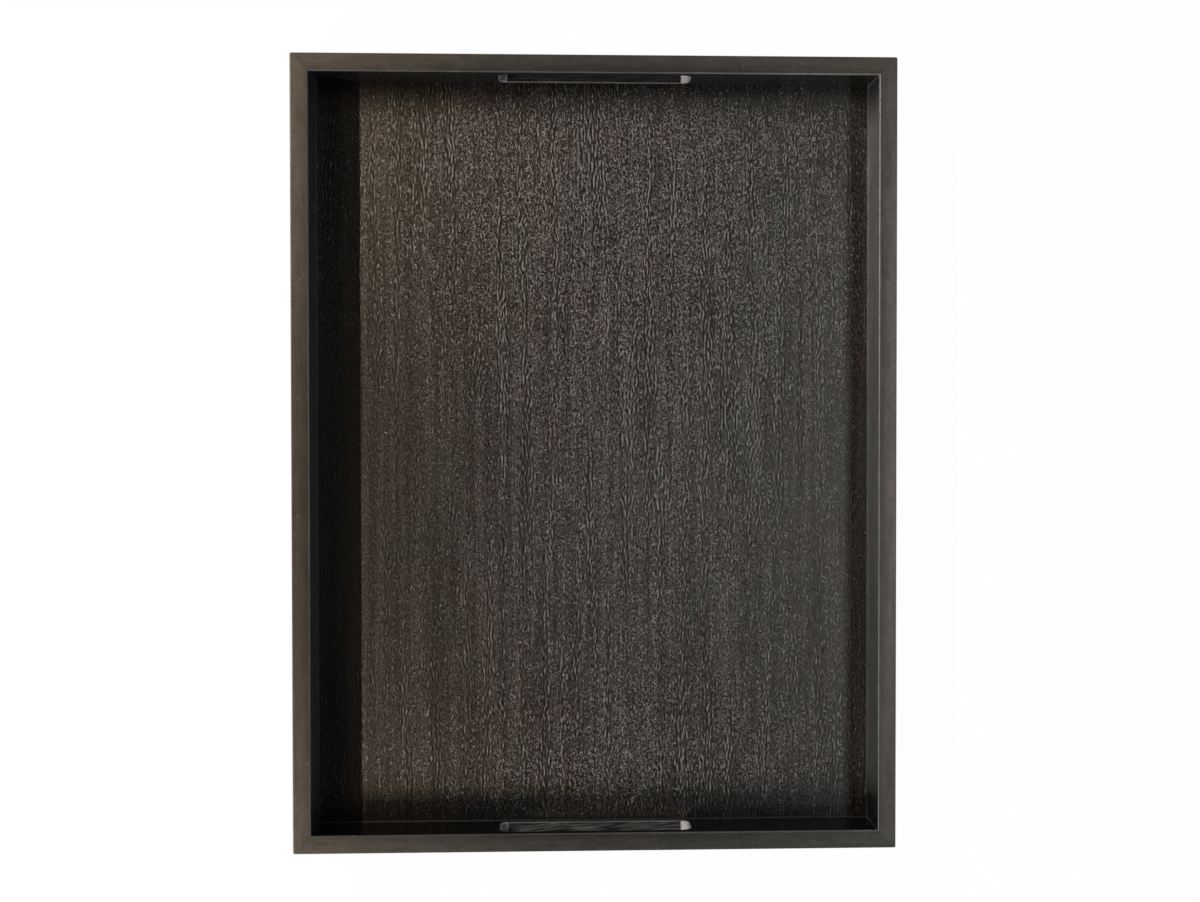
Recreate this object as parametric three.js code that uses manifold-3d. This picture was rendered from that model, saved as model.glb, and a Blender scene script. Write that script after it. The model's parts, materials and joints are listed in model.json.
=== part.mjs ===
// Rectangular serving tray with two hand slots.
// Four mitred rails hold a veneered floor panel in their grooves, a hidden spline
// locks each mitre, and felt pads keep the rails off the table.
// Millimetres, +Z up. The tray stands on Z = 0 and its long side runs along Y.

import * as THREE from "three";
import { mergeVertices } from "three/addons/utils/BufferGeometryUtils.js";
import Module from "manifold-3d";

const wasm = await Module();
wasm.setup();

// Driving dimensions

// Frame of four rails
const trayLength = 610; // outside, along Y
const trayWidth = 464; // outside, along X
const railThickness = 14;
const innerDepth = 40; // from the rim down to the floor's surface
const baseRecess = 4; // from the panel's underside down to the rails' lower edge
const edgeRadius = 1; // sanded long edges of the rails
const cornerRadius = 1.5; // sanded upright outer corners

// Floor panel
const coreThickness = 5;
const veneerThickness = 0.6;
const grooveDepth = 5;
const swellingRoom = 0.5; // between the panel's edge and the bottom of its groove

// Hand slot in each end rail
const slotLength = 146;
const slotTopBar = 8.5; // from the rim down to the slot
const slotBottomBar = 5; // from the floor's surface up to the slot
const slotCornerRadius = 6;
const slotEdgeRadius = 1.5; // rounded over, for the fingers

// Spline across each mitre
const splineThickness = 3;
const splineCover = 3; // wood left between the spline and a rail's outer face
const splineStop = 6; // wood left above the spline, and below it down to the floor

// Felt pads under the side rails
const padThickness = 2.5;
const padMargin = 1.5; // between the pad's rim and the rail's faces
const padSetback = 40; // from the tray's end to the pad's centre

// Clearance and fineness
const glueLine = 0.1; // between any two pieces that are glued together
const cutOverrun = 0.05; // how far a cut runs out of the wood
const edgeFacets = 4; // in a sanded quarter round
const slotFacets = 12; // in a corner of the hand slot
const padFacets = 40; // round a felt pad
const facetsPerSegment = 2; // an arc in a shape has two facets to each curve segment
const weldDistance = 1e-4;

// Sizes that follow from them
const panelThickness = coreThickness + 2 * (veneerThickness + glueLine);
const railBottom = padThickness + glueLine;
const panelBottom = railBottom + baseRecess;
const panelTop = panelBottom + panelThickness;
const railTop = panelTop + innerDepth;
const panelInset = railThickness - grooveDepth + swellingRoom;
const slotHeight = innerDepth - slotTopBar - slotBottomBar;
const slotCentreHeight = panelTop + slotBottomBar + slotHeight / 2;
const splineBottom = panelTop + splineStop;
const splineHeight = railTop - splineStop - splineBottom;
const splineReach = railThickness / Math.SQRT2 - splineCover * Math.SQRT2 - splineThickness / 2;
const padRadius = railThickness / 2 - padMargin;

// Finishes
const finishes = {
  railWood: { color: 0x2b2623, roughness: 0.42, metalness: 0 },
  faceVeneer: { color: 0x2e2a26, roughness: 0.5, metalness: 0 },
  backVeneer: { color: 0x26211e, roughness: 0.6, metalness: 0 },
  coreBoard: { color: 0x8c6f4e, roughness: 0.8, metalness: 0 },
  splineWood: { color: 0xa98a62, roughness: 0.7, metalness: 0 },
  felt: { color: 0x1a1a1a, roughness: 0.95, metalness: 0 },
};

// Booleans

function toSolid(geometry) {
  const bare = geometry.clone();
  bare.deleteAttribute("normal");
  bare.deleteAttribute("uv");
  const welded = mergeVertices(bare, weldDistance);
  const vertProperties = welded.attributes.position.array;
  const triVerts = new Uint32Array(welded.index.array);
  return new wasm.Manifold(new wasm.Mesh({ numProp: 3, vertProperties, triVerts }));
}

function toGeometry(solid) {
  const mesh = solid.getMesh();
  const geometry = new THREE.BufferGeometry();
  geometry.setAttribute("position", new THREE.BufferAttribute(mesh.vertProperties, 3));
  geometry.setIndex(new THREE.BufferAttribute(mesh.triVerts, 1));
  geometry.computeVertexNormals();
  return geometry;
}

function cutAway(geometry, cutters) {
  const solid = cutters.reduce((rest, cutter) => rest.subtract(toSolid(cutter)), toSolid(geometry));
  return toGeometry(solid);
}

// Rails
// Each rail is made in one place: its outer face on X = 0, its wood towards +X, its
// length along Y about the origin and its height at the height it has in the tray.

// Cross-section: X from the outer face inwards, Y upwards, with the panel's groove.
function railProfile() {
  const grooveFloor = railThickness - grooveDepth;
  const grooveBottom = panelBottom - glueLine;
  const grooveTop = panelTop + glueLine;
  const near = edgeRadius;
  const far = railThickness - edgeRadius;
  const low = railBottom + edgeRadius;
  const high = railTop - edgeRadius;
  const quarter = Math.PI / 2;
  const profile = new THREE.Shape();
  profile.moveTo(near, railBottom);
  profile.absarc(far, low, edgeRadius, -quarter, 0);
  profile.lineTo(railThickness, grooveBottom);
  profile.lineTo(grooveFloor, grooveBottom);
  profile.lineTo(grooveFloor, grooveTop);
  profile.lineTo(railThickness, grooveTop);
  profile.absarc(far, high, edgeRadius, 0, quarter);
  profile.absarc(near, high, edgeRadius, quarter, 2 * quarter);
  profile.absarc(near, low, edgeRadius, 2 * quarter, 3 * quarter);
  return profile;
}

// The profile drawn out to the rail's length. Each end is then leant back by its
// distance from the outer face, which makes a 45 degree mitre, less half a glue line.
function mitredBlank(length) {
  const geometry = new THREE.ExtrudeGeometry(railProfile(), {
    depth: length,
    bevelEnabled: false,
    curveSegments: edgeFacets / facetsPerSegment,
  });
  const endSetback = glueLine / Math.SQRT2;
  const position = geometry.attributes.position;
  for (let i = 0; i < position.count; i++) {
    const back = position.getX(i) + endSetback;
    const along = position.getZ(i) < length / 2 ? back : length - back;
    position.setZ(i, along - length / 2);
  }
  return geometry.rotateX(Math.PI / 2);
}

// What sanding takes off the upright outer corner at one end of a rail, end +1 or -1.
function cornerCutter(length, end) {
  const past = cornerRadius;
  const height = railTop - railBottom + 2 * past;
  const outline = new THREE.Shape();
  outline.moveTo(cornerRadius, 0);
  outline.lineTo(cornerRadius, past);
  outline.lineTo(-past, past);
  outline.lineTo(-past, -cornerRadius);
  outline.lineTo(0, -cornerRadius);
  outline.absarc(cornerRadius, -cornerRadius, cornerRadius, Math.PI, Math.PI / 2, true);
  const geometry = new THREE.ExtrudeGeometry(outline, {
    depth: height,
    bevelEnabled: false,
    curveSegments: edgeFacets / facetsPerSegment,
  });
  geometry.translate(0, 0, -height / 2);
  if (end < 0) {
    geometry.rotateX(Math.PI);
  }
  return geometry.translate(0, (end * length) / 2, (railTop + railBottom) / 2);
}

// A spline standing across the mitre at one end of a rail, grown by a clearance.
function splineBlock(clearance) {
  const reach = 2 * (splineReach + clearance);
  const thickness = splineThickness + 2 * clearance;
  return new THREE.BoxGeometry(reach, thickness, splineHeight + 2 * clearance);
}

function splineSlotCutter(length, end) {
  const fromCorner = railThickness / 2;
  const geometry = splineBlock(glueLine).rotateZ((end * Math.PI) / 4);
  return geometry.translate(fromCorner, end * (length / 2 - fromCorner), splineBottom + splineHeight / 2);
}

function roundedRectangle(width, height, radius) {
  const right = width / 2 - radius;
  const top = height / 2 - radius;
  const quarter = Math.PI / 2;
  const outline = new THREE.Shape();
  outline.moveTo(-right, -top - radius);
  outline.absarc(right, -top, radius, -quarter, 0);
  outline.absarc(right, top, radius, 0, quarter);
  outline.absarc(-right, top, radius, quarter, 2 * quarter);
  outline.absarc(-right, -top, radius, 2 * quarter, 3 * quarter);
  return outline;
}

// The hand slot's space: it flares in a quarter round where it meets each face of the
// rail, which leaves the slot's edges rounded over.
function handSlotCutter() {
  const outline = roundedRectangle(slotLength, slotHeight, slotCornerRadius);
  const geometry = new THREE.ExtrudeGeometry(outline, {
    depth: railThickness + 2 * cutOverrun - 2 * slotEdgeRadius,
    bevelThickness: slotEdgeRadius,
    bevelSize: -slotEdgeRadius,
    bevelOffset: slotEdgeRadius,
    bevelSegments: edgeFacets,
    curveSegments: slotFacets / facetsPerSegment,
  });
  geometry.translate(0, 0, slotEdgeRadius - cutOverrun);
  const alongRail = new THREE.Vector3(0, 1, 0);
  const upwards = new THREE.Vector3(0, 0, 1);
  const inwards = new THREE.Vector3(1, 0, 0);
  geometry.applyMatrix4(new THREE.Matrix4().makeBasis(alongRail, upwards, inwards));
  return geometry.translate(0, 0, slotCentreHeight);
}

function sideRail() {
  const cutters = [1, -1].flatMap((end) => [
    cornerCutter(trayLength, end),
    splineSlotCutter(trayLength, end),
  ]);
  return cutAway(mitredBlank(trayLength), cutters);
}

function endRail() {
  const cutters = [1, -1].flatMap((end) => [
    cornerCutter(trayWidth, end),
    splineSlotCutter(trayWidth, end),
  ]);
  return cutAway(mitredBlank(trayWidth), [...cutters, handSlotCutter()]);
}

// Floor panel: each layer reaches into the grooves on all four sides.
function panelLayer(thickness) {
  return new THREE.BoxGeometry(trayWidth - 2 * panelInset, trayLength - 2 * panelInset, thickness);
}

function feltPad() {
  return new THREE.CylinderGeometry(padRadius, padRadius, padThickness, padFacets).rotateX(Math.PI / 2);
}

// Assembly
const tray = new THREE.Group();
tray.name = "butler_tray";

function addPiece(name, geometry, finish, place, turn = 0) {
  const piece = new THREE.Mesh(geometry, new THREE.MeshStandardMaterial(finish));
  piece.name = name;
  piece.position.set(...place);
  piece.rotation.z = turn;
  tray.add(piece);
}

const halfWidth = trayWidth / 2;
const halfLength = trayLength / 2;
addPiece("left_side_rail", sideRail(), finishes.railWood, [-halfWidth, 0, 0]);
addPiece("right_side_rail", sideRail(), finishes.railWood, [halfWidth, 0, 0], Math.PI);
addPiece("front_end_rail", endRail(), finishes.railWood, [0, -halfLength, 0], Math.PI / 2);
addPiece("rear_end_rail", endRail(), finishes.railWood, [0, halfLength, 0], -Math.PI / 2);

const backCentre = panelBottom + veneerThickness / 2;
const coreCentre = panelBottom + panelThickness / 2;
const faceCentre = panelTop - veneerThickness / 2;
addPiece("floor_back_veneer", panelLayer(veneerThickness), finishes.backVeneer, [0, 0, backCentre]);
addPiece("floor_core", panelLayer(coreThickness), finishes.coreBoard, [0, 0, coreCentre]);
addPiece("floor_face_veneer", panelLayer(veneerThickness), finishes.faceVeneer, [0, 0, faceCentre]);

const splineX = halfWidth - railThickness / 2;
const splineY = halfLength - railThickness / 2;
const splineCentre = splineBottom + splineHeight / 2;
const padX = halfWidth - railThickness / 2;
const padY = halfLength - padSetback;
for (const [end, sideY] of [["front", -1], ["rear", 1]]) {
  for (const [side, sideX] of [["left", -1], ["right", 1]]) {
    const splinePlace = [sideX * splineX, sideY * splineY, splineCentre];
    const splineTurn = (-sideX * sideY * Math.PI) / 4;
    addPiece(`corner_spline_${end}_${side}`, splineBlock(0), finishes.splineWood, splinePlace, splineTurn);
    const padPlace = [sideX * padX, sideY * padY, padThickness / 2];
    addPiece(`felt_pad_${end}_${side}`, feltPad(), finishes.felt, padPlace);
  }
}

export default tray;
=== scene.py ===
# %% [markdown]
# # A dark wooden butler tray
# The tray is a shallow box: four rails, mitred at the corners, round a veneered floor, with a slot for
# the hand in each short rail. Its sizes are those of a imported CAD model. This lesson loads that model
# first and measures it, so that the pieces made below fit it. Only what a box can't tell, such as the
# shape of the slot, is written here again.

# %% Load the solids
import json
import math

import bmesh
import bpy
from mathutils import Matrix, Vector


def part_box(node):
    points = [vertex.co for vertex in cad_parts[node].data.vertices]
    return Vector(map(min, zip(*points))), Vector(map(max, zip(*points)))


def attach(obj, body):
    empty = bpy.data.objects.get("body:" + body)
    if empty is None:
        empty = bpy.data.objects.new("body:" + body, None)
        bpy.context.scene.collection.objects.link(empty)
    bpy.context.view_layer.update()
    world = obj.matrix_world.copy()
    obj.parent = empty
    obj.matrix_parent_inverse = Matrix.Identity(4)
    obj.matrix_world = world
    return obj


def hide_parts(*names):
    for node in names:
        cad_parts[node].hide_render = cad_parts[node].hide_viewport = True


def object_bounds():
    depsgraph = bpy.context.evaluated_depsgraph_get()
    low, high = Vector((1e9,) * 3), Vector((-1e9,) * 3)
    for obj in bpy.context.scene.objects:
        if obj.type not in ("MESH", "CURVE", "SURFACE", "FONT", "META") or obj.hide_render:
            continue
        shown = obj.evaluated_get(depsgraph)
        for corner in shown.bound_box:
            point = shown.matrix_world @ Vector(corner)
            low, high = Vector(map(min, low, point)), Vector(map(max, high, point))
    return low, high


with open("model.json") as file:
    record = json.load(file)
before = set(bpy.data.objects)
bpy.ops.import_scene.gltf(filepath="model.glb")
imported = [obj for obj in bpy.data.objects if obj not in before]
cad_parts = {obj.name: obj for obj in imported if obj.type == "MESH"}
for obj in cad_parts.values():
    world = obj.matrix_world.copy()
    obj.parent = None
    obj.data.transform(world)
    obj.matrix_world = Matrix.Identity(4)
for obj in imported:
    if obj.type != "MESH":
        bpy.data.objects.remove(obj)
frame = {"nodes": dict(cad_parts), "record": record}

solid_low, solid_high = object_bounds()
scene = bpy.context.scene
MM = 0.001  # the frame is in metres
print("solids:", ", ".join(sorted(frame["nodes"])))
print("box (mm):", [round(side / MM, 1) for side in solid_high - solid_low])

# %% [markdown]
# ## The camera
# The photograph looks almost straight down on the tray. A camera can be placed by eye, but a pinhole
# camera that is fitted to the edges of the rim puts all of them in place at once. It hangs about 1.2 m
# above the rim, a little left of the middle, and leans by one or two degrees. A camera of Blender looks
# along its own -Z, so those small angles are its rotation.

# %% Hang the camera over the tray
PHOTO_WIDTH = 1200  # pixels, the picture is 1200 by 902
FOCAL_LENGTH = 1562.6  # pixels
SENSOR_WIDTH = 36.0  # mm
CAMERA_X, CAMERA_Y = -42.76 * MM, 24.89 * MM
CAMERA_ABOVE_RIM = 1195.21 * MM
CAMERA_LEAN = (-1.0553, -2.1930, -0.0531)  # degrees about X, Y and Z

camera_data = bpy.data.cameras.new("overhead_camera")
camera_data.sensor_fit = "HORIZONTAL"
camera_data.sensor_width = SENSOR_WIDTH
camera_data.lens = FOCAL_LENGTH * SENSOR_WIDTH / PHOTO_WIDTH
camera = bpy.data.objects.new("overhead_camera", camera_data)
camera.location = (CAMERA_X, CAMERA_Y, solid_high.z + CAMERA_ABOVE_RIM)
camera.rotation_euler = [math.radians(angle) for angle in CAMERA_LEAN]
scene.collection.objects.link(camera)
scene.camera = camera
scene.view_settings.view_transform = "Standard"
print("lens (mm):", round(camera_data.lens, 2))

# %% [markdown]
# ## Small helpers
# Colours are easiest to read off a picture as sRGB hex values, but Blender's sockets take linear light,
# so one function converts them. A second one adds a node to any tree, sets what it is given and links the
# sockets it is given: with it, a whole material or shape reads as a list of nodes. Where a node is given
# in place of a socket, its first output is meant. A colour ramp also gets its stops there. A third starts
# a material with an empty tree.

# %% Colours, nodes and materials
def linear(hex_colour):
    parts = [int(hex_colour[i:i + 2], 16) / 255 for i in (1, 3, 5)]
    light = [p / 12.92 if p <= 0.04045 else ((p + 0.055) / 1.055) ** 2.4 for p in parts]
    return (*light, 1.0)


def add_node(tree, kind, inputs=None, stops=(), **settings):
    made = tree.nodes.new(kind)
    for name, value in settings.items():
        setattr(made, name, value)
    for key, value in (inputs or {}).items():
        if isinstance(value, bpy.types.Node):
            value = next(out for out in value.outputs if not out.is_unavailable)
        if isinstance(value, bpy.types.NodeSocket):
            tree.links.new(value, made.inputs[key])
        else:
            made.inputs[key].default_value = value
    for count, (position, hex_colour) in enumerate(stops):
        elements = made.color_ramp.elements  # a new ramp has two
        stop = elements[count] if count < len(elements) else elements.new(position)
        stop.position, stop.color = position, linear(hex_colour)
    return made


def new_material(name):
    material = bpy.data.materials.new(name)
    material.use_nodes = True
    material.node_tree.nodes.clear()
    return material, material.node_tree


print("mid grey:", [round(part, 3) for part in linear("#808080")])

# %% [markdown]
# ## The studio
# The tray lies on a white sweep that shows no edge. A floor that is lit white would throw a lot of light
# back on the wood, so the floor is white only where a camera, a reflection or glass looks at it: Light
# Path tells which kind of ray arrives. Seen so, a small share of the lit floor stays in the colour, which
# keeps a soft shadow. From below it lets the view through, so that the underside can be looked at.

# %% Floor of the studio
FLOOR_RADIUS = 9.0  # m
FLOOR_CORNERS = 64
FLOOR_SHOW = 0.98  # share of plain white in what is seen of the floor


def seen_directly(tree):
    """1 where a camera, a reflection or glass looks, 0 where a surface only gathers light."""
    rays = add_node(tree, "ShaderNodeLightPath").outputs
    first = add_node(tree, "ShaderNodeMath", {0: rays["Is Camera Ray"], 1: rays["Is Glossy Ray"]},
                     operation="MAXIMUM")
    return add_node(tree, "ShaderNodeMath", {0: first, 1: rays["Is Transmission Ray"]},
                    operation="MAXIMUM")


sweep, tree = new_material("white_paper_sweep")  # matt paper: an even white ground without a shine
paper = add_node(tree, "ShaderNodeBsdfDiffuse", {"Color": linear("#f2f2f2")})
white = add_node(tree, "ShaderNodeEmission", {"Color": linear("#ffffff"), "Strength": 1.0})
share = add_node(tree, "ShaderNodeMath", {0: seen_directly(tree), 1: FLOOR_SHOW}, operation="MULTIPLY")
seen = add_node(tree, "ShaderNodeMixShader", {0: share, 1: paper, 2: white})
below = add_node(tree, "ShaderNodeNewGeometry").outputs["Backfacing"]
clear = add_node(tree, "ShaderNodeBsdfTransparent")
both = add_node(tree, "ShaderNodeMixShader", {0: below, 1: seen, 2: clear})
add_node(tree, "ShaderNodeOutputMaterial", {"Surface": both})

bm = bmesh.new()
bmesh.ops.create_circle(bm, cap_ends=True, segments=FLOOR_CORNERS, radius=FLOOR_RADIUS)
floor_mesh = bpy.data.meshes.new("studio_floor")
bm.to_mesh(floor_mesh)
bm.free()
floor_mesh.materials.append(sweep)
floor = bpy.data.objects.new("studio_floor", floor_mesh)
scene.collection.objects.link(floor)
print("floor radius (m):", FLOOR_RADIUS)

# %% [markdown]
# ## Light
# The shadow of the left wall falls on the tray's floor with a sharp edge, 33 mm from a wall that is 40 mm
# high: that gives the direction of the lamps on the left, and narrow lamps keep the edge sharp. The ends
# of the tray are brighter than its middle, so there are two long lamps, one towards each end. A weak, wide
# lamp beside them lightens the outer part of that shadow. A wide, cooler lamp on the right leaves a soft
# band at the right wall, and a small one over the rear end lights the rim there. The room is dark, and
# white to the eye only towards the horizon.

# %% Lamps and room
LAMPS = {  # place in m, length and width in m, power in W, colour
    "left_lamp_front": ((-1.53, -1.50, 1.55), (1.20, 0.04), 50.0, "#fffcf6"),
    "left_lamp_rear": ((-1.53, 1.10, 1.55), (1.60, 0.04), 42.5, "#fffcf6"),
    "left_glow": ((-1.15, -0.10, 1.75), (2.40, 0.50), 1.6, "#fff6ea"),
    "right_lamp": ((0.85, -0.08, 1.55), (1.35, 0.30), 3.5, "#c2e0ff"),
    "rear_lamp_high": ((0.25, 0.80, 1.55), (0.45, 0.50), 0.3, "#e0eeff"),
}
HORIZON_WHITE, HORIZON_DARK = 0.20, 0.45  # heights of a direction of length 1

for name, (place, (length, width), power, colour) in LAMPS.items():
    lamp_data = bpy.data.lights.new(name, "AREA")
    lamp_data.shape = "RECTANGLE"
    lamp_data.size, lamp_data.size_y = length, width
    lamp_data.energy = power
    lamp_data.color = linear(colour)[:3]
    lamp = bpy.data.objects.new(name, lamp_data)
    lamp.location = place
    to_long_axis = Vector((-place[0], 0, -place[2]))
    lamp.rotation_euler = to_long_axis.to_track_quat("-Z", "Y").to_euler()
    scene.collection.objects.link(lamp)

room = bpy.data.worlds.new("dark_room")
room.use_nodes = True
scene.world = room
tree = room.node_tree
tree.nodes.clear()
direction = add_node(tree, "ShaderNodeTexCoord").outputs["Generated"]
upwards = add_node(tree, "ShaderNodeSeparateXYZ", {0: direction}).outputs["Z"]
horizon = add_node(tree, "ShaderNodeMapRange", {
    "Value": upwards, "From Min": HORIZON_WHITE, "From Max": HORIZON_DARK, "To Min": 1.0, "To Max": 0.0},
    interpolation_type="SMOOTHSTEP")
show = add_node(tree, "ShaderNodeMath", {0: horizon, 1: seen_directly(tree)}, operation="MULTIPLY")
glow = add_node(tree, "ShaderNodeBackground", {"Color": linear("#ffffff"), "Strength": show})
add_node(tree, "ShaderNodeOutputWorld", {"Surface": glow})
print("lamps:", ", ".join(LAMPS))

# %% [markdown]
# ## Finishes: masks of a rail
# The rails are hardwood, stained black-brown and lacquered satin. The upper face is paler towards its outer
# edge, painted light makes it paler towards its ends, and a painted highlight lies on the inner edge as a
# thin pale line. Such places could be painted in an image, but here each is a mask, a number from 0 to 1
# that is worked out from the rail's own coordinates, so that it keeps its size in millimetres. That works
# for all four rails, because every rail lies where it belongs in the tray.

# %% Masks of a rail
rail_low, rail_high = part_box("left_side_rail")
RAIL_THICKNESS = rail_high.x - rail_low.x
OUTER_FULL = 2.0 * MM  # from the outer face
# where the painted highlight on the inner edge starts and is full
EDGE_START, EDGE_FULL = 1.3 * MM, 0.7 * MM  # from the inner face
UPPER_START, UPPER_FULL = 1.3 * MM, 0.9 * MM  # under the rim, where the wall turns to the upper face
END_INSIDE = 0.55  # how much of the painted light at the ends reaches the inner edge


def rail_masks(tree, place, along, worn_end, middle):
    """1 at the outer edge, at the ends, on the line of the inner edge and on the upper face."""
    across = 1 - along
    least_lit_spot = [0.0, 0.0, 0.0]
    least_lit_spot[along] = middle
    apart = add_node(tree, "ShaderNodeVectorMath", {0: place, 1: least_lit_spot}, operation="SUBTRACT")
    distance = add_node(tree, "ShaderNodeVectorMath", {0: apart}, operation="ABSOLUTE")
    far = add_node(tree, "ShaderNodeSeparateXYZ", {0: distance}).outputs
    outer_face, rail_end, rim = solid_high[across], solid_high[along], solid_high.z
    inner_face = outer_face - RAIL_THICKNESS
    masks = {}
    for mask, axis, start, full in (
            ("outer", across, inner_face, outer_face - OUTER_FULL),
            # painted light towards the ends of the upper face
            ("end", along, rail_end - worn_end, rail_end),
            ("line", across, inner_face + EDGE_START, inner_face + EDGE_FULL),
            ("upper", 2, rim - UPPER_START, rim - UPPER_FULL)):
        masks[mask] = add_node(tree, "ShaderNodeMapRange", {
            "Value": far[axis], "From Min": start, "From Max": full}, interpolation_type="SMOOTHSTEP")
    outward = add_node(tree, "ShaderNodeMapRange", {"Value": masks["outer"], "To Min": END_INSIDE})
    masks["end"] = add_node(tree, "ShaderNodeMath", {0: masks["end"], 1: outward}, operation="MULTIPLY")
    return masks


print("rail thickness (mm):", round(RAIL_THICKNESS / MM, 2))

# %% [markdown]
# ## Finishes: the rails' wood
# Noise that is drawn out along the fibres breaks the colour up, and its highest peaks are specks of dust
# in the lacquer. A photograph of wood could give the fibres too, but noise needs no file and has no edge.
# The light that comes back from the fibres of the upper face is warm; the walls and the inner edge have
# more lacquer, and their sheen is clear. The light and shade on a wall and the highlight on its edge are
# painted into their colour and change along the rail, so each is a ramp from one end to the other.

# %% Stained rail wood
RAIL_IOR = 1.55  # lacquer
TOP_ROUGHNESS = 0.37
ROUGHNESS_SPREAD = 0.04
FIBRE_GLOW = (1.0, 0.75, 0.52, 1.0)
CLEAR_GLOW = (1.0, 1.0, 1.0, 1.0)
FLECK = "#77716c"
FLECK_START, FLECK_FULL = 0.79, 0.86  # of the noise "dust"
NOISE_LOW, NOISE_HIGH = 1.1, 1.9  # what the other three noises add up to
DARKER, PALER = 0.68, 1.32  # what that does to the colour
FIBRES = {  # mm along the fibres and across them, detail; drawn coarser than real fibres, to show
    "streaks": (60, 1.3, 3.0), "patches": (24, 6, 2.0), "blotches": (4, 3, 1.0), "dust": (1.7, 1.4, 0.0)}


def stained_rail_wood(name, along, inner, outer, end, worn_end, walls, line, wall_roughness, middle=0.0,
                      wall_gloss=1.0):
    """Wood with its fibres along X (0) or Y (1). inner, outer and end are colours of the upper face; end is
    painted light towards the ends, least at middle. walls and line are ramps of painted light and shade on
    the wall and of a painted highlight on its upper edge."""
    material, tree = new_material(name)
    place = add_node(tree, "ShaderNodeTexCoord").outputs["Object"]
    masks = rail_masks(tree, place, along, worn_end, middle)
    noises = {}
    for noise, (length, width, detail) in FIBRES.items():
        scale = [1 / (width * MM)] * 3
        scale[along] = 1 / (length * MM)
        mapped = add_node(tree, "ShaderNodeMapping", {"Vector": place, "Scale": scale})
        noises[noise] = add_node(tree, "ShaderNodeTexNoise", {
            "Vector": mapped, "Scale": 1.0, "Detail": detail})
    masks["dust"] = add_node(tree, "ShaderNodeMapRange", {
        "Value": noises["dust"], "From Min": FLECK_START, "From Max": FLECK_FULL})
    wall_end = solid_high[along] - RAIL_THICKNESS
    run = add_node(tree, "ShaderNodeMapRange", {
        "Value": add_node(tree, "ShaderNodeSeparateXYZ", {0: place}).outputs[along],
        "From Min": -wall_end, "From Max": wall_end})
    # painted light and shade along the wall, and a painted highlight along its inner edge
    wall_light_and_shade = add_node(tree, "ShaderNodeValToRGB", {"Fac": run}, walls)
    line_highlight = add_node(tree, "ShaderNodeValToRGB", {"Fac": run}, line)
    colour, glow = linear(inner), CLEAR_GLOW
    for mask, tint in (("outer", linear(outer)), ("end", linear(end)), ("line", line_highlight),
                       ("dust", linear(FLECK))):
        colour = add_node(tree, "ShaderNodeMix", {0: masks[mask], 6: colour, 7: tint}, data_type="RGBA")
    colour = add_node(tree, "ShaderNodeMix", {0: masks["upper"], 6: wall_light_and_shade, 7: colour}, data_type="RGBA")
    for mask, tint in (("upper", FIBRE_GLOW), ("line", CLEAR_GLOW)):
        glow = add_node(tree, "ShaderNodeMix", {0: masks[mask], 6: glow, 7: tint}, data_type="RGBA")
    two = add_node(tree, "ShaderNodeMath", {0: noises["streaks"], 1: noises["patches"]}, operation="ADD")
    three = add_node(tree, "ShaderNodeMath", {0: two, 1: noises["blotches"]}, operation="ADD")
    tone = add_node(tree, "ShaderNodeMapRange", {
        "Value": three, "From Min": NOISE_LOW, "From Max": NOISE_HIGH, "To Min": DARKER, "To Max": PALER})
    uneven = add_node(tree, "ShaderNodeVectorMath", {0: colour, "Scale": tone}, operation="SCALE")
    level = add_node(tree, "ShaderNodeMapRange", {
        "Value": masks["upper"], "To Min": wall_roughness - ROUGHNESS_SPREAD / 2,
        "To Max": TOP_ROUGHNESS - ROUGHNESS_SPREAD / 2})
    rough = add_node(tree, "ShaderNodeMath", {0: noises["patches"], 1: ROUGHNESS_SPREAD, 2: level},
                     operation="MULTIPLY_ADD")
    grain = add_node(tree, "ShaderNodeBump", {
        "Height": noises["streaks"], "Strength": 0.08, "Distance": 0.03 * MM})
    gloss = add_node(tree, "ShaderNodeMapRange", {"Value": masks["upper"], "To Min": wall_gloss})
    shader = add_node(tree, "ShaderNodeBsdfPrincipled", {
        "Base Color": uneven, "Roughness": rough, "Normal": grain, "IOR": RAIL_IOR,
        "Specular IOR Level": gloss, "Specular Tint": glow})
    add_node(tree, "ShaderNodeOutputMaterial", {"Surface": shader})
    return material


print("noises of the rail wood:", ", ".join(FIBRES))

# %% [markdown]
# The four rails are cut from the same wood, but they don't look the same: each faces the lamps in its own
# way, and the light and shade on each is painted into its finish. So there are four finishes with one
# recipe. The ramps start at the front or left end of a rail.

# %% Finishes of the four rails
left_wood = stained_rail_wood(  # dark in the middle, with painted warm light on both ends
    "stained_hardwood_left_rail", along=1, inner="#1f1b1a", outer="#39332f", end="#4e4741",
    worn_end=250 * MM, middle=-50 * MM, wall_roughness=0.31,
    walls=((0.0, "#0f0e0d"), (0.06, "#4c4947"), (0.34, "#56524f"), (1.0, "#403d3b")),
    line=((0.0, "#3a3735"), (0.15, "#4a4745"), (0.6, "#575451"), (1.0, "#2f2c2a")))
RIGHT_RAIL = dict(
    along=1, inner="#393532", outer="#5d5653", end="#474443",
    worn_end=240 * MM, middle=40 * MM, wall_roughness=0.31,
    walls=((0.0, "#030303"), (0.034, "#070707"), (0.067, "#313233"), (0.94, "#585859"), (0.985, "#2c2c2c")),
    line=((0.0, "#0a0a0a"), (0.06, "#1c1b1a"), (0.22, "#4c4947"), (0.75, "#6b6866"), (1.0, "#5c5957")))
right_wood = stained_rail_wood(  # the palest one: painted light on its wall, which faces the lamps, and a painted highlight on its edge
    "stained_hardwood_right_rail", **RIGHT_RAIL)
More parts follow.
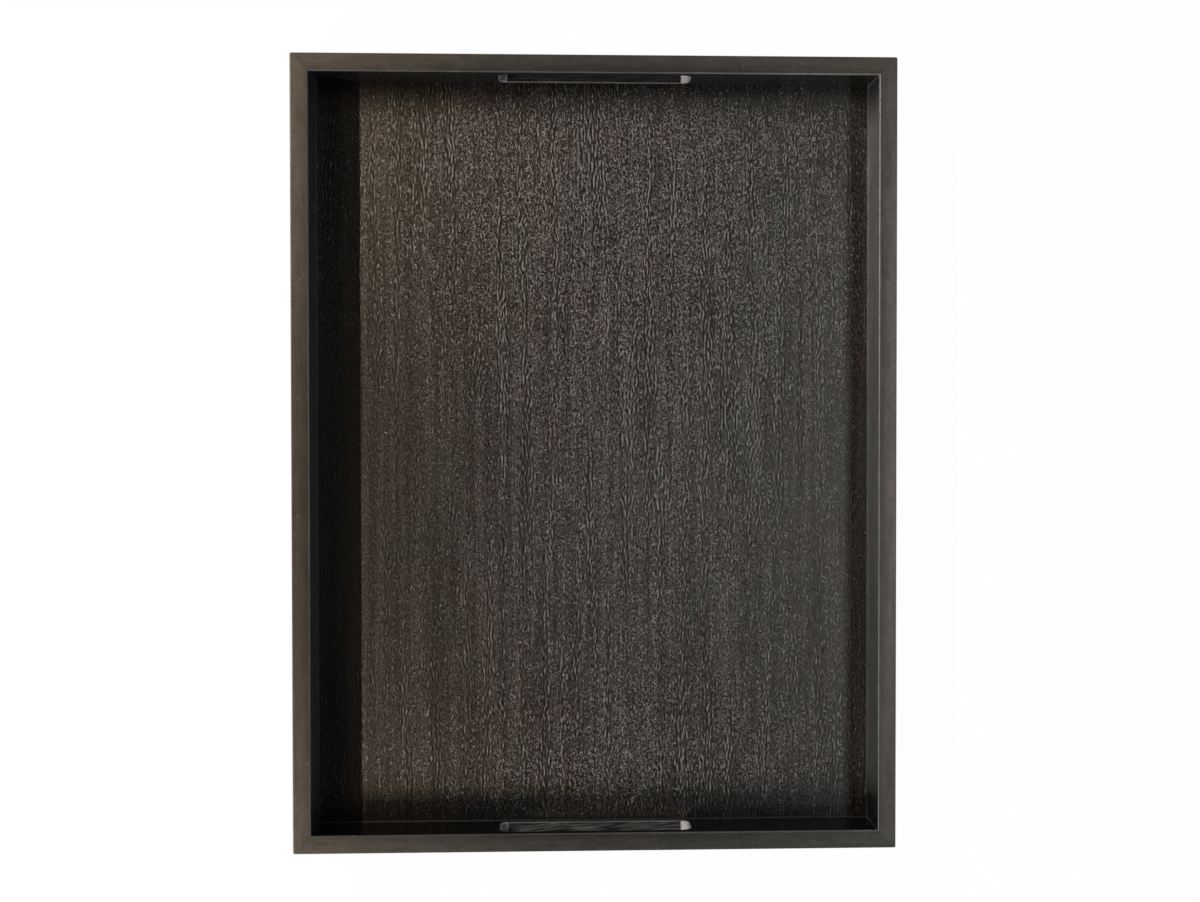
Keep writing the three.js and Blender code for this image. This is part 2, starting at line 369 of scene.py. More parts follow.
front_wood = stained_rail_wood(  # grey, over a wall painted almost black as shade
    "stained_hardwood_front_rail", along=0, inner="#222223", outer="#343435", end="#3f3e3c",
    worn_end=190 * MM, wall_roughness=0.22, wall_gloss=0.2,
    walls=((0.0, "#0a0a0a"), (0.3, "#080808"), (0.6, "#131313"), (1.0, "#060606")),
    line=((0.0, "#2a2a2a"), (0.5, "#363635"), (1.0, "#4a4948")))
rear_wood = stained_rail_wood(  # brown, with a painted highlight on its edge, brighter towards the right
    "stained_hardwood_rear_rail", along=0, inner="#1f1f20", outer="#3b3735", end="#45403b",
    worn_end=190 * MM, wall_roughness=0.27,
    walls=((0.0, "#101010"), (0.3, "#1d1d1e"), (0.7, "#1f1f20"), (1.0, "#171717")),
    line=((0.0, "#403e3c"), (0.6, "#4a4846"), (0.9, "#76736f"), (1.0, "#6a6764")))
print("rail finishes:", left_wood.name, right_wood.name, front_wood.name, rear_wood.name)

# %% [markdown]
# ## Finishes: the floor's veneer
# The floor is a figured, open-pored veneer under the same stain: pale curly strokes on near black, with a
# warm sheen. The strokes are about a millimetre wide and a few millimetres apart, most of them upright
# along the grain. They come in bands a finger wide, where they are by turns straight or short and curly.
# A picture would repeat or blur on so large a sheet, so the figure is made of noises. Each has its own
# size across and along the fibres; the smallest are drawn coarser than real pores, to show.

# %% Noises of the veneer
VENEER_NOISES = {  # mm across the fibres and along them, detail, and an offset as seed
    "bands": (9.0, 260.0, 2.0, 37.7), "swirl": (3.0, 4.0, 1.0, 3.1), "lines": (1.2, 60.0, 1.0, 23.9),
    "pores": (0.9, 2.4, 1.0, 95.0), "patches": (4.0, 22.0, 2.0, 51.2), "streaks": (7.0, 240.0, 3.0, 67.4),
    "tints": (26.0, 44.0, 2.0, 83.0)}
SEED_ALONG = 0.7  # the offset along the fibres is a share of the one across

veneer, tree = new_material("stained_figured_veneer")
place = add_node(tree, "ShaderNodeTexCoord").outputs["Object"]
parts = {}
for noise, (across_mm, along_mm, detail, seed) in VENEER_NOISES.items():
    mapped = add_node(tree, "ShaderNodeMapping", {
        "Vector": place, "Location": (seed, seed * SEED_ALONG, 0),
        "Scale": (1 / (across_mm * MM), 1 / (along_mm * MM), 1.0)})
    parts[noise] = add_node(tree, "ShaderNodeTexNoise", {
        "Vector": mapped, "Scale": 1.0, "Detail": detail, "Roughness": 0.55}, noise_dimensions="2D")
print("veneer noises:", ", ".join(VENEER_NOISES))

# %% [markdown]
# The sheet isn't even. Its figure is dullest on a line across the tray a little in front of the middle,
# and weaker at the left and right. Light is painted round the middle, so it is a little paler there, and its
# sheen is warmer at the left. Shade is painted along the right wall and at both ends, where the wood is
# darker. All these are Map Range nodes: the first four read a noise, the others a place on the sheet.

# %% Places on the veneer
DULL_LINE = -75 * MM  # along Y
# painted light: a pool of it round this middle makes the veneer paler there
PAINTED_LIGHT_MIDDLE, PAINTED_LIGHT_REACH = (0.065, -0.02), (0.27, 0.29)  # m
inner_x, inner_y = solid_high.x - RAIL_THICKNESS, solid_high.y - RAIL_THICKNESS  # inner faces of the rails

mapped = add_node(tree, "ShaderNodeMapping", {
    "Vector": place, "Scale": [*PAINTED_LIGHT_REACH, 1.0], "Location": [*PAINTED_LIGHT_MIDDLE, 0.0]}, vector_type="TEXTURE")
flat = add_node(tree, "ShaderNodeVectorMath", {0: mapped, 1: (1.0, 1.0, 0.0)}, operation="MULTIPLY")
parts["off_painted_light"] = add_node(tree, "ShaderNodeVectorMath", {0: flat}, operation="LENGTH").outputs["Value"]
apart = add_node(tree, "ShaderNodeSeparateXYZ", {0: place})
parts["x"], parts["y"] = apart.outputs["X"], apart.outputs["Y"]
for part, operation, *terms in (
        ("past_dull", "SUBTRACT", "y", DULL_LINE),
        ("off_dull", "ABSOLUTE", "past_dull"),
        ("far_y", "ABSOLUTE", "y")):
    parts[part] = add_node(tree, "ShaderNodeMath", {i: parts.get(t, t) for i, t in enumerate(terms)},
                           operation=operation)
for part, source, start, stop, first, last in (  # two values of the source, and what they become
        ("freedom", "bands", 0.38, 0.52, 0.4, 4.6),
        ("clearness", "patches", 0.30, 0.60, 0.65, 1.1),
        ("shift", "streaks", 0.3, 0.7, 0.43, 0.55),
        ("pitch", "patches", 0.30, 0.70, 1.35, 1.85),
        ("pale", "off_painted_light", 1.0, 0.0, 0.0, 1.0),
        ("cool", "x", -0.19, 0.05, 0.0, 1.0),
        ("clear_left", "x", -0.19, 0.0, 0.55, 1.0),
        ("clear_right", "x", 0.06, 0.2, 1.0, 0.86),
        ("clear_ends", "off_dull", 0.05, 0.32, 0.72, 1.6),
        # painted shade: darker along the right wall and at both ends
        ("edge_x", "x", inner_x - 24 * MM, inner_x - 12 * MM, 0.0, 0.6),
        ("edge_y", "far_y", inner_y - 34 * MM, inner_y, 0.0, 0.85)):
    parts[part] = add_node(tree, "ShaderNodeMapRange", {
        "Value": parts[source], "From Min": start, "From Max": stop, "To Min": first, "To Max": last},
        interpolation_type="SMOOTHSTEP")
print("veneer nodes so far:", len(tree.nodes))

# %% [markdown]
# Gabor noise makes the strokes: short waves with a direction of their own. The swirl turns the direction,
# more in some bands than in others, and neighbouring bands are slid along the fibres. Pores and fine lines
# are added. The sum is one number, the strokes: low in the dark wood between them, high in their middle.
# Each line below is one Math node, with its name, its operation and its terms.

# %% Figure of the veneer
STROKE_ACROSS, STROKE_ALONG = 4.5 * MM, 5.0 * MM  # reach of one wave
STROKE_SEED = (11.3, 7.9, 0)

for part, operation, *terms in (
        ("turn", "MULTIPLY_ADD", "swirl", 2.0, -1.0),  # radians either way
        ("slide", "MULTIPLY", "bands", 30 * MM),
        ("bend", "MULTIPLY", "turn", "freedom")):
    parts[part] = add_node(tree, "ShaderNodeMath", {i: parts.get(t, t) for i, t in enumerate(terms)},
                           operation=operation)
slide = add_node(tree, "ShaderNodeCombineXYZ", {"Y": parts["slide"]})
slid = add_node(tree, "ShaderNodeVectorMath", {0: place, 1: slide}, operation="ADD")
mapped = add_node(tree, "ShaderNodeMapping", {
    "Vector": slid, "Location": STROKE_SEED, "Scale": (1 / STROKE_ACROSS, 1 / STROKE_ALONG, 1.0)})
parts["curls"] = add_node(tree, "ShaderNodeTexGabor", {
    "Vector": mapped, "Scale": 1.0, "Frequency": parts["pitch"], "Anisotropy": 0.82,
    "Orientation 2D": parts["bend"]}, gabor_type="2D")
for part, operation, *terms in (
        ("wave", "SUBTRACT", "curls", 0.5),
        ("pore", "SUBTRACT", "pores", 0.5),
        ("line", "SUBTRACT", "lines", 0.5),
        ("waves", "MULTIPLY", "wave", 2.6),
        ("with_pores", "MULTIPLY_ADD", "pore", 0.65, "waves"),
        ("with_lines", "MULTIPLY_ADD", "line", 0.4, "with_pores"),
        ("edge", "MAXIMUM", "edge_x", "edge_y"),
        ("out_of_wall_shade", "MULTIPLY_ADD", "edge", -0.65, 1.0),  # the figure fades into the painted shade along the walls
        ("clear_sides", "MULTIPLY", "clear_left", "clear_right"),
        ("clear", "MULTIPLY", "clear_sides", "clear_ends"),
        ("clear_here", "MULTIPLY", "clear", "out_of_wall_shade"),
        ("clear_lines", "MULTIPLY", "with_lines", "clear_here"),
        ("strokes", "MULTIPLY_ADD", "clear_lines", "clearness", "shift")):
    parts[part] = add_node(tree, "ShaderNodeMath", {i: parts.get(t, t) for i, t in enumerate(terms)},
                           operation=operation)
print("veneer nodes so far:", len(tree.nodes))

# %% [markdown]
# The strokes, the painted light round the middle and the painted shade along the walls add up to the
# shade, from 0 to 1, and a ramp turns it to a colour. Large weak patches lean to red or to green. A paler
# place is also rougher, which spreads the lamps' light. The sheen is wide across the fibres and narrow along
# them, so it is anisotropic, and its tangent comes from a UV map whose U runs across the fibres.

# %% Colour and sheen of the veneer
GRAIN_MAP = "grain"  # UV map of a veneer: U across the fibres, V along them
WARM_GLOW, COOL_GLOW = (1.0, 0.71, 0.44, 1.0), (1.0, 0.77, 0.56, 1.0)  # of the fibres, left and right
CLOSED_ROUGHNESS, OPEN_ROUGHNESS = 0.29, 0.46
EDGE_SMOOTHER = -0.06  # lacquer gathers along the walls
SHADES = ((0.0, "#070606"), (0.25, "#121010"), (0.5, "#252423"), (0.75, "#494746"), (1.0, "#7b7876"))
TINTS = ((0.35, "#fff5f2"), (0.65, "#f7fbf8"))

# painted shade along the walls darkens the strokes; painted light round the middle lightens them
for part, operation, *terms in (
        ("shaded_at_walls", "MULTIPLY_ADD", "edge", -0.2, "strokes"),
        ("shade", "MULTIPLY_ADD", "pale", 0.12, "shaded_at_walls"),
        ("open_wood", "POWER", "shade", 1.7)):  # most of the sheet is closed and smooth
    parts[part] = add_node(tree, "ShaderNodeMath", {i: parts.get(t, t) for i, t in enumerate(terms)},
                           operation=operation)
wood = add_node(tree, "ShaderNodeValToRGB", {"Fac": parts["shade"]}, SHADES)
tint = add_node(tree, "ShaderNodeValToRGB", {"Fac": parts["tints"]}, TINTS)
colour = add_node(tree, "ShaderNodeVectorMath", {0: wood, 1: tint}, operation="MULTIPLY")
open_rough = add_node(tree, "ShaderNodeMapRange", {
    "Value": parts["open_wood"], "To Min": CLOSED_ROUGHNESS, "To Max": OPEN_ROUGHNESS})
rough = add_node(tree, "ShaderNodeMath", {0: parts["edge"], 1: EDGE_SMOOTHER, 2: open_rough},
                 operation="MULTIPLY_ADD")
relief = add_node(tree, "ShaderNodeBump", {"Height": parts["shade"], "Strength": 0.22, "Distance": 0.08 * MM})
across = add_node(tree, "ShaderNodeTangent", direction_type="UV_MAP", uv_map=GRAIN_MAP)
glow = add_node(tree, "ShaderNodeMix", {0: parts["cool"], 6: WARM_GLOW, 7: COOL_GLOW}, data_type="RGBA")
shader = add_node(tree, "ShaderNodeBsdfPrincipled", {
    "Base Color": colour, "Roughness": rough, "Normal": relief, "Tangent": across, "Anisotropic": 0.5,
    "IOR": RAIL_IOR, "Specular IOR Level": 1.0, "Specular Tint": glow})
add_node(tree, "ShaderNodeOutputMaterial", {"Surface": shader})
print("veneer nodes:", len(tree.nodes))

# %% [markdown]
# ## Finishes: what is underneath and inside
# The back of the panel is a plain veneer with a thin coat, the core is raw board, the splines in the
# mitres are raw beech and the pads are pressed felt. None of them is seen from above, so one noise each is
# enough: long streaks, chips, flecks or fibres, with the sizes of the real ones.

# %% Back veneer, core board, beech and felt
PLAIN_IOR = 1.5  # raw wood and wool


def plain_finish(name, dark, light, size_mm, roughness, relief_mm, turn=0.0, spread=(0.32, 0.68), sheen=0.0):
    """One noise, of the given size along X, Y and Z, runs from dark to light and raises the surface."""
    material, tree = new_material(name)
    place = add_node(tree, "ShaderNodeTexCoord").outputs["Object"]
    mapped = add_node(tree, "ShaderNodeMapping", {
        "Vector": place, "Rotation": (0, 0, math.radians(turn)), "Scale": [size * MM for size in size_mm]},
        vector_type="TEXTURE")
    grain = add_node(tree, "ShaderNodeTexNoise", {
        "Vector": mapped, "Scale": 1.0, "Detail": 4.0, "Roughness": 0.6})
    colour = add_node(tree, "ShaderNodeValToRGB", {"Fac": grain}, zip(spread, (dark, light)))
    relief = add_node(tree, "ShaderNodeBump", {"Height": grain, "Strength": 0.4, "Distance": relief_mm * MM})
    shader = add_node(tree, "ShaderNodeBsdfPrincipled", {
        "Base Color": colour, "Roughness": roughness, "Normal": relief, "IOR": PLAIN_IOR,
        "Sheen Weight": sheen})
    add_node(tree, "ShaderNodeOutputMaterial", {"Surface": shader})
    return material


back_veneer = plain_finish(  # faint long streaks, hardly any shine
    "stained_plain_veneer", "#1e1916", "#332b26", size_mm=(1.6, 70, 1.6), roughness=0.55, relief_mm=0.06)
core_board = plain_finish(  # a dull mixture of pale and dark chips
    "raw_core_board", "#7d6143", "#9c7d59", size_mm=(2.5, 2.5, 1.2), roughness=0.8, relief_mm=0.15)
beech = plain_finish(  # warm and pale, with short upright flecks
    "raw_beech", "#98794f", "#b99a70", size_mm=(0.8, 0.8, 9), roughness=0.7, relief_mm=0.08)
felt = plain_finish(  # black without a shine, with a soft light fringe
    "pressed_felt", "#121212", "#262525", size_mm=(0.4, 0.4, 0.4), roughness=0.95, relief_mm=0.2, sheen=0.4)
print("plain finishes:", back_veneer.name, core_board.name, beech.name, felt.name)

# %% [markdown]
# ## The rails
# A rail is one section drawn out along a line, with both ends cut at 45 degrees and the upright outer
# corner sanded round. It could be built from a box with bevels, but it follows a rule, so Geometry Nodes
# can make all four rails from one tree: Curve to Mesh draws the section along a line, and Set Position
# then moves each ring to its place. First comes the section, drawn as a closed line, with the groove that
# holds the panel.

# %% The rail's section
ROUND_STEPS = 6
EDGE_RADIUS = 1.0 * MM
GROOVE_ROOM = 0.5 * MM  # beyond the panel's edge
GLUE_LINE = 0.1 * MM

panel_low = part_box("floor_back_veneer")[0]
panel_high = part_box("floor_face_veneer")[1]
groove_floor = panel_low.x - GROOVE_ROOM - rail_low.x


def quarter_round(centre, radius, start):
    """Points of a quarter circle in the section, anticlockwise from the angle start."""
    angles = [math.radians(start + 90 * step / ROUND_STEPS) for step in range(ROUND_STEPS + 1)]
    return [(centre[0] + radius * math.cos(a), centre[1] + radius * math.sin(a)) for a in angles]


near, far = EDGE_RADIUS, RAIL_THICKNESS - EDGE_RADIUS
low, high = rail_low.z + EDGE_RADIUS, rail_high.z - EDGE_RADIUS
section = [
    *quarter_round((far, low), EDGE_RADIUS, -90),
    (RAIL_THICKNESS, panel_low.z - GLUE_LINE),
    (groove_floor, panel_low.z - GLUE_LINE),
    (groove_floor, panel_high.z + GLUE_LINE),
    (RAIL_THICKNESS, panel_high.z + GLUE_LINE),
    *quarter_round((far, high), EDGE_RADIUS, 0),
    *quarter_round((near, high), EDGE_RADIUS, 90),
    *quarter_round((near, low), EDGE_RADIUS, 180),
]


def closed_line(name, points):
    """A closed line of edges. Curve to Mesh turns a section's Y downwards, so heights are drawn negative."""
    mesh = bpy.data.meshes.new(name)
    corners = len(points)
    mesh.from_pydata([(x, -z, 0) for x, z in points], [(i, (i + 1) % corners) for i in range(corners)], [])
    return mesh


print("section points:", len(section))

# %% [markdown]
# The rule for a ring's place: between the corners a point only moves along the rail, up to its own
# distance from the outer face, and that makes the mitre. In the corner it goes round a small circle by
# an eighth of a turn. Points deeper than the corner's radius stay on the mitre.

# %% A tree for mitred rails
CORNER_RINGS = 4
STRAIGHT_SHARE = 1 / (1 + CORNER_RINGS)  # one step to the corner, then the corner's own rings
WELD = 0.001 * MM  # rings that fall together are merged


def new_tree(name, **sockets):
    tree = bpy.data.node_groups.new(name, "GeometryNodeTree")
    tree.interface.new_socket("Geometry", in_out="INPUT", socket_type="NodeSocketGeometry")
    for socket, kind in sockets.items():
        tree.interface.new_socket(socket.replace("_", " "), in_out="INPUT", socket_type="NodeSocket" + kind)
    tree.interface.new_socket("Geometry", in_out="OUTPUT", socket_type="NodeSocketGeometry")
    return tree, add_node(tree, "NodeGroupInput").outputs


def end_tree(tree, geometry, material):
    real = add_node(tree, "GeometryNodeRealizeInstances", {0: geometry})
    dressed = add_node(tree, "GeometryNodeSetMaterial", {"Geometry": real, "Material": material})
    add_node(tree, "NodeGroupOutput", {0: dressed})


rail_tree, given = new_tree("mitred_rail", Length="Float", Reach="Float", Corner_Radius="Float",
                            Turn="Float", Material="Material")
outline = add_node(rail_tree, "GeometryNodeMeshToCurve", {"Mesh": given["Geometry"]})
line = add_node(rail_tree, "GeometryNodeCurvePrimitiveLine", {"Start": (0, -1, 0), "End": (0, 1, 0)})
rings = add_node(rail_tree, "GeometryNodeResampleCurve", {"Curve": line, "Count": 2 * (1 + CORNER_RINGS) + 1})
blank = add_node(rail_tree, "GeometryNodeCurveToMesh", {
    "Curve": rings, "Profile Curve": outline, "Fill Caps": True})
position = add_node(rail_tree, "GeometryNodeInputPosition")
spot = add_node(rail_tree, "ShaderNodeSeparateXYZ", {0: position}).outputs
known = {"depth": spot[0], "along": spot[1], "length": given["Length"], "reach": given["Reach"],
         "radius": given["Corner Radius"]}
for step, operation, *terms in (
        ("half", "MULTIPLY", "length", 0.5),
        ("run", "ABSOLUTE", "along"),
        ("run_share", "DIVIDE", "run", STRAIGHT_SHARE),
        ("straight", "MINIMUM", "run_share", 1.0),
        ("past", "SUBTRACT", "run", STRAIGHT_SHARE),
        ("corner", "MAXIMUM", "past", 0.0),
        ("angle", "MULTIPLY", "corner", math.pi / 4 / (1 - STRAIGHT_SHARE)),
        ("inside", "MAXIMUM", "radius", "depth"),
        ("spare", "SUBTRACT", "radius", "depth"),
        ("arm", "MAXIMUM", "spare", 0.0),
        ("sine", "SINE", "angle"),
        ("cosine", "COSINE", "angle"),
        ("round_along", "MULTIPLY", "arm", "sine"),
        ("round_in", "MULTIPLY", "arm", "cosine"),
        ("straight_run", "SUBTRACT", "half", "inside"),
        ("far_along", "MULTIPLY_ADD", "straight", "straight_run", "round_along"),
        ("far_in", "SUBTRACT", "inside", "round_in"),
        ("which_end", "SIGN", "along"),
        ("new_x", "SUBTRACT", "far_in", "reach"),
        ("new_y", "MULTIPLY", "far_along", "which_end")):
    known[step] = add_node(rail_tree, "ShaderNodeMath", {i: known.get(t, t) for i, t in enumerate(terms)},
                           operation=operation)
new_place = add_node(rail_tree, "ShaderNodeCombineXYZ", {0: known["new_x"], 1: known["new_y"], 2: spot[2]})
placed = add_node(rail_tree, "GeometryNodeSetPosition", {"Geometry": blank, "Position": new_place})
welded = add_node(rail_tree, "GeometryNodeMergeByDistance", {"Geometry": placed, "Distance": WELD})
quarter = add_node(rail_tree, "ShaderNodeCombineXYZ", {2: given["Turn"]})
stood = add_node(rail_tree, "GeometryNodeTransform", {"Geometry": welded, "Rotation": quarter})
end_tree(rail_tree, stood, given["Material"])
print("rail tree nodes:", len(rail_tree.nodes))

# %% [markdown]
# ## The hand slot: sizes and finishes
# The slot is routed through the end rail and its edges are rounded over, so that it doesn't cut the hand.
# The routed wood is dark, with streaks left by the router. Its lower edge carries a painted highlight, and
# the round ends are a pale grey that is a painted reflection of the lamps. The two slots share these
# finishes, but the routed wood of the front one is paler: the rear one's is darker with painted shade.

# %% Sizes and finishes of the slot
SLOT_LENGTH = 146 * MM
SLOT_TOP_BAR = 8.5 * MM  # wood above it
SLOT_BOTTOM_BAR = 5.0 * MM  # wood between it and the floor
SLOT_CORNER = 6.0 * MM
SLOT_EDGE = 1.5 * MM
PALE_PAST_CORNER = 1.6 * MM  # the pale ends, a painted reflection, start that far beyond the centre of the slot's corner
HIGHLIGHT_UNDER_SLOT = 0.3 * MM  # the painted highlight takes only the inner part of the rounded edge
STREAKS = dict(size_mm=(22, 0.9, 0.9), roughness=0.35, relief_mm=0.1, turn=5, spread=(0.44, 0.78))

slot_low = panel_high.z + SLOT_BOTTOM_BAR
slot_high = rail_high.z - SLOT_TOP_BAR
FRONT, REAR = -1, 1  # sides along Y
routed_wood = {  # torn fibres: pale streaks in dark wood
    FRONT: plain_finish("routed_wood_front_slot", "#0f0e0d", "#6e6a67", **STREAKS),
    # painted shade: the rear slot's routed wood is darker
    REAR: plain_finish("routed_wood_rear_slot", "#0a0909", "#403d3b", **STREAKS)}
pale_slot_end = plain_finish(  # a dull pale grey, a painted reflection of the lamps
    "bare_end_of_slot", "#83817f", "#a6a4a2", size_mm=(0.7, 3, 0.7), roughness=0.6, relief_mm=0.1)
slot_edge_highlight = plain_finish(  # a painted highlight: a thin grey line with a soft shine
    "worn_edge_of_slot", "#524f4d", "#716e6c", size_mm=(9, 1, 1), roughness=0.4, relief_mm=0.05)
print("slot height (mm):", round((slot_high - slot_low) / MM, 2))

# %% [markdown]
# ## The hand slot: its cutter
# The edges could be bevelled after the hole is cut, but a bevel depends on the faces that the cut happens
# to leave. So one cutter makes both at once: a bar with the slot's section that flares out in a quarter
# circle at each face of the rail. A Boolean takes it away from the rail and hands its finishes on.

# %% The slot's cutter
SLOT_STEPS = 8  # in a corner
CUT_OVERRUN = 0.05 * MM
pale_from = SLOT_LENGTH / 2 - SLOT_CORNER + PALE_PAST_CORNER
highlight_below = slot_low - HIGHLIGHT_UNDER_SLOT


def slot_outline(grown):
    across, up = SLOT_LENGTH / 2 - SLOT_CORNER, (slot_high - slot_low) / 2 - SLOT_CORNER
    points = []
    for start, (sx, sz) in zip((-90, 0, 90, 180), ((1, -1), (1, 1), (-1, 1), (-1, -1))):
        for step in range(SLOT_STEPS + 1):
            a = math.radians(start + 90 * step / SLOT_STEPS)
            points.append((sx * across + (SLOT_CORNER + grown) * math.cos(a),
                           sz * up + (SLOT_CORNER + grown) * math.sin(a)))
    return points


def slot_cutter(side, outer_face):
    """A closed bar from the outer face to the inner face of an end rail."""
    flare = []
    for step in range(ROUND_STEPS + 1):
        a = math.pi / 2 * step / ROUND_STEPS
        flare.append((SLOT_EDGE * (1 - math.cos(a)), SLOT_EDGE * (1 - math.sin(a))))
    stations = [(-CUT_OVERRUN, SLOT_EDGE), *flare]
    stations += [(RAIL_THICKNESS - depth, grown) for depth, grown in reversed(flare)]
    stations.append((RAIL_THICKNESS + CUT_OVERRUN, SLOT_EDGE))
    middle = (slot_low + slot_high) / 2
    bm = bmesh.new()
    loops = [[bm.verts.new((x, side * (outer_face - depth), middle + z)) for x, z in slot_outline(grown)]
             for depth, grown in stations]
    count = len(loops[0])
    for first, second in zip(loops, loops[1:]):
        for i in range(count):
            bm.faces.new((first[i], first[(i + 1) % count], second[(i + 1) % count], second[i]))
    bm.faces.new(loops[0])
    bm.faces.new(loops[-1])
    bmesh.ops.remove_doubles(bm, verts=bm.verts, dist=WELD / 10)
    bmesh.ops.recalc_face_normals(bm, faces=bm.faces)
    for face in bm.faces:
        spot = face.calc_center_median()
        face.material_index = 1 if abs(spot.x) > pale_from else 2 if spot.z < highlight_below else 0
    mesh = bpy.data.meshes.new("slot_cutter")
    bm.to_mesh(mesh)
    bm.free()
    for finish in (routed_wood[side], pale_slot_end, slot_edge_highlight):
        mesh.materials.append(finish)
    cutter = bpy.data.objects.new("slot_cutter", mesh)
    scene.collection.objects.link(cutter)
    return cutter


print("slot outline points:", len(slot_outline(0.0)))

# %% [markdown]
# ## From tree to rail
# A tree works on an object as a modifier. Its inputs are set before it is first evaluated, and the result
# becomes a plain mesh, which is what the export takes. Smooth shading with weighted normals keeps the
# broad faces flat beside their rounded edges; more rings would do that too, at the price of many faces.

# %% Helpers for a finished mesh
SHARP_ANGLE = 40  # degrees between two faces


def with_tree(name, mesh, tree, **values):
    """An object for the mesh, with the tree as its modifier and the values as the tree's inputs."""
    thing = bpy.data.objects.new(name, mesh)
    scene.collection.objects.link(thing)
    modifier = thing.modifiers.new(tree.name, "NODES")
    modifier.node_group = tree
    for item in tree.interface.items_tree:
        key = item.name.replace(" ", "_")
        if item.in_out == "INPUT" and key in values:
            modifier[item.identifier] = values[key]
    return thing


def as_plain_mesh(thing, name):
    """What the object's modifiers make of it, as a new object with no modifiers."""
    done = thing.evaluated_get(bpy.context.evaluated_depsgraph_get())
    mesh = bpy.data.meshes.new_from_object(done)
    mesh.name = name
    bpy.data.objects.remove(thing)
    piece = bpy.data.objects.new(name, mesh)
    scene.collection.objects.link(piece)
    return piece


def smooth_but_crisp(piece, angle=SHARP_ANGLE):
    piece.data.shade_smooth()
    piece.data.set_sharp_from_angle(angle=math.radians(angle))
    even = piece.modifiers.new("even_normals", "WEIGHTED_NORMAL")
    even.keep_sharp = True
    even.weight = 100


def volume(piece):
    """In cubic metres, negative where a mesh is inside out."""
    measured = bmesh.new()
    measured.from_mesh(piece.data)
    size = measured.calc_volume(signed=True)
    measured.free()
    return size


print("sharp from (degrees):", SHARP_ANGLE)

# %% [markdown]
# The rails are the four walls of the tray. A rail is drawn as the left one and turned to its side. A rail
# that has a slot takes one more modifier, the Boolean with the cutter, before it becomes a plain mesh.

# %% Make the four rails
CORNER_RADIUS = 1.5 * MM
half_width, half_length = solid_high.x, solid_high.y
RAILS = {  # length, reach of the outer face, turn, side of its slot or 0, finish
    "left_side_rail": (2 * half_length, half_width, 0, 0, left_wood),
    "right_side_rail": (2 * half_length, half_width, math.pi, 0, right_wood),
    "front_end_rail": (2 * half_width, half_length, math.pi / 2, FRONT, front_wood),
    "rear_end_rail": (2 * half_width, half_length, -math.pi / 2, REAR, rear_wood),
}
for node, (length, reach, turn, side, finish) in RAILS.items():
    outline = closed_line(node + "_section", section[::-1])
    start = with_tree(node + "_start", outline, rail_tree, Length=length, Reach=reach,
                      Corner_Radius=CORNER_RADIUS, Turn=turn, Material=finish)
    cutter = None
    if side:
        cutter = slot_cutter(side, reach)
        cut = start.modifiers.new("hand_slot", "BOOLEAN")
        cut.operation, cut.solver, cut.object = "DIFFERENCE", "EXACT", cutter
        cut.material_mode = "TRANSFER"
    rail = as_plain_mesh(start, "dressed_" + node)
    if cutter:
        bpy.data.objects.remove(cutter)
    smooth_but_crisp(rail)
    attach(rail, "root")
    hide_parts(node)
    print(node, "volume (mm3):", round(volume(rail) / MM ** 3), "faces:", len(rail.data.polygons))

# %% [markdown]
# ## The floor's veneers
# A veneer is a thin sheet, glued on the core. Its edges are hidden in the grooves, so a plain plate is all
# that is needed. It is made again, and not kept from the solids, because it takes a UV map: that gives
# the sheen its direction.

# %% Face and back veneer
def frame_slot(node):
    """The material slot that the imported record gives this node."""
    return next(part["material_slot"] for part in frame["record"]["subparts"] if part["node"] == node)


def veneer_plate(name, node, finish):
    low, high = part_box(node)
    bm = bmesh.new()
    bmesh.ops.create_cube(bm, size=1)
    for vertex in bm.verts:
        vertex.co = [(a + b) / 2 + c * (b - a) for a, b, c in zip(low, high, vertex.co)]
    mesh = bpy.data.meshes.new(name)
    bm.to_mesh(mesh)
    bm.free()
    mesh.materials.append(finish)
    layer = mesh.uv_layers.new(name=GRAIN_MAP)
    for corner in mesh.loops:
        layer.data[corner.index].uv = mesh.vertices[corner.vertex_index].co[:2]
    piece = bpy.data.objects.new(name, mesh)
    scene.collection.objects.link(piece)
    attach(piece, "root")
    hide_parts(node)
    return piece


face = veneer_plate("dressed_floor_face_veneer", "floor_face_veneer", veneer)
back = veneer_plate("dressed_floor_back_veneer", "floor_back_veneer", back_veneer)
print("veneers:", face.name, back.name)

# %% [markdown]
# ## Core and splines
# The core carries the veneers, and a spline is glued across each mitre to hold it. These solids already
# have their final shape and hardly show, so they stay as they are and only get a better material.

# %% Dress the solids that stay
for node, solid in frame["nodes"].items():
    material = {"core_board": core_board, "spline_wood": beech}.get(frame_slot(node))
    if material:
        solid.data.materials.clear()
        solid.data.materials.append(material)
        print("kept:", node)

# %% [markdown]
# ## Felt pads
# Four equal pads sit under the side rails. They could be copied one by one, but instances on points stay
# equal. One tree makes a pad and puts it on four points: a low cylinder whose upper and lower rims are
# drawn in a little, as pressed felt is.

# %% Felt pads by instancing
PAD_DRAWN_IN = 0.08  # share of the radius
PAD_LATE = 5.0  # a high power, so that only the rims are drawn in
PAD_SHARP_ANGLE = 50  # degrees
PAD_NODES = [node for node in frame["nodes"] if node.startswith("felt_pad")]
pad_low, pad_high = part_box(PAD_NODES[0])

